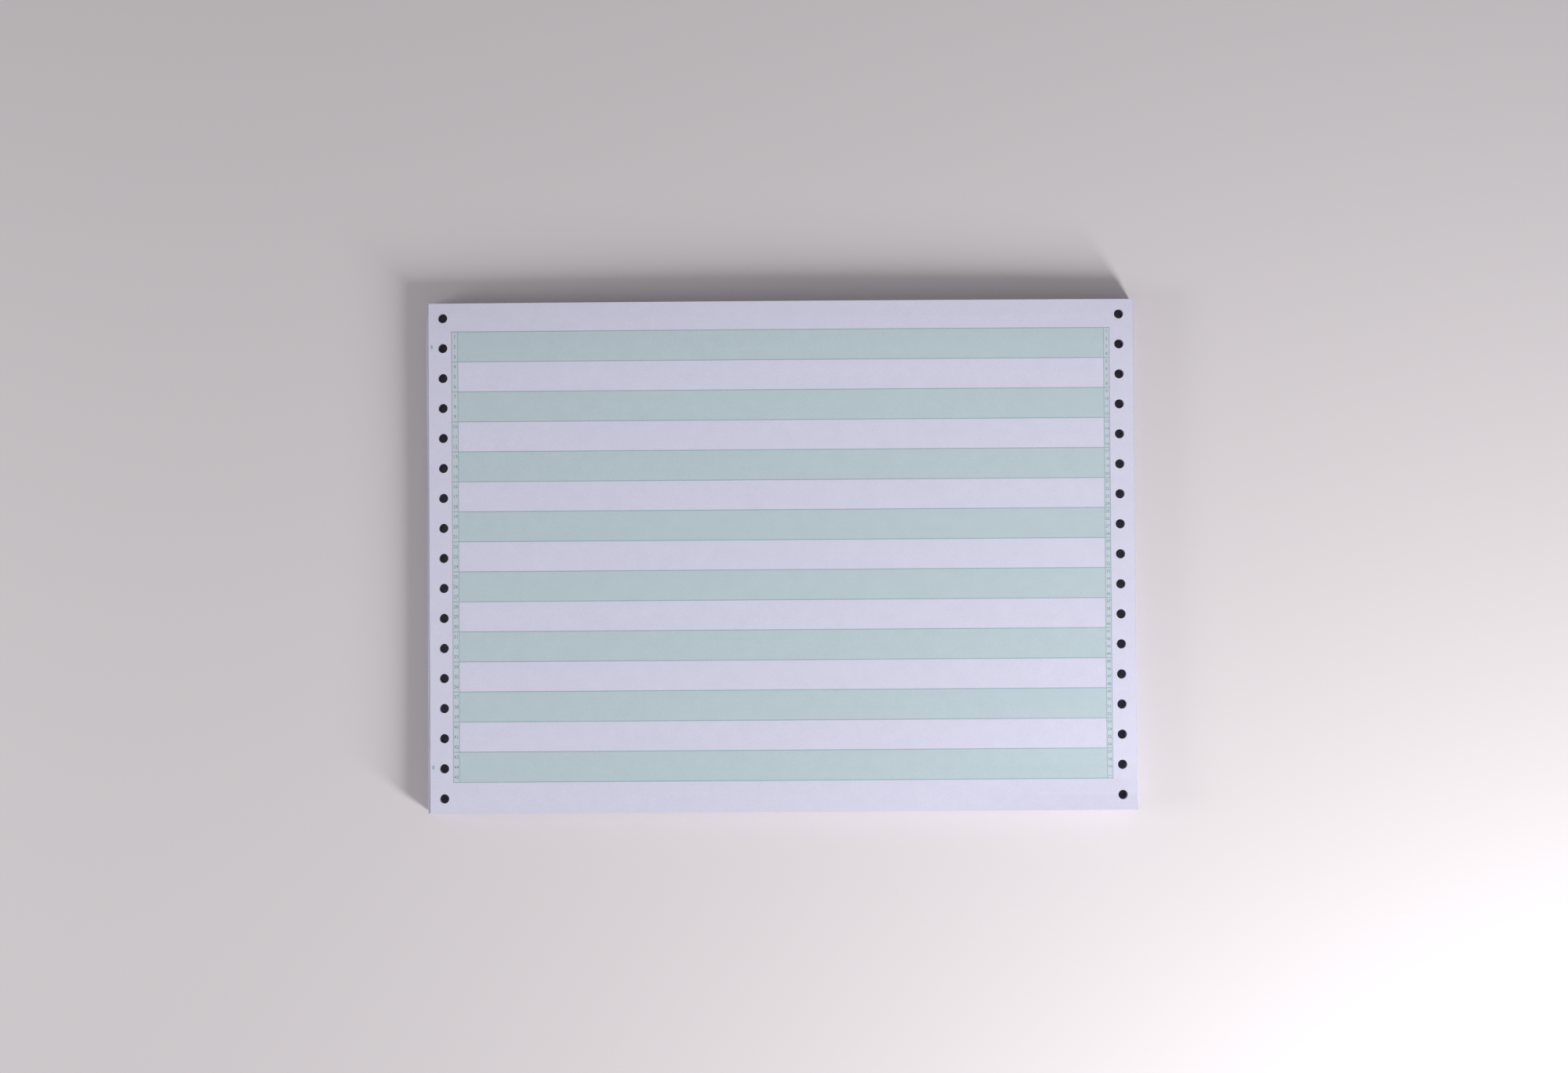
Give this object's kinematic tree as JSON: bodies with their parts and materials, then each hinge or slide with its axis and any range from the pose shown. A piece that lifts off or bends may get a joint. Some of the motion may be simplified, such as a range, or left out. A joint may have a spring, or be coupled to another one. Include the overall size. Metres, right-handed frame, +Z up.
{
  "type": "fanfold continuous form paper",
  "caption": "Stack of wide ruled listing paper, one web folded to and fro on its cross perforations, with a row of sprocket holes down each edge.",
  "frame": {"origin": "middle of the stack's underside, on the surface it lies on", "axes": "+X across the web from the left sprocket margin to the right one, +Y along the forms from the front fold to the back one, +Z up out of the printed side"},
  "size_m": [0.2984, 0.2158, 0.013],
  "materials": {
    "paper": "matte uncoated bond, printed on its upper side with pale green bars"
  },
  "bodies": {
    "root": {"paper_stack": "paper"}
  },
  "joints": []
}
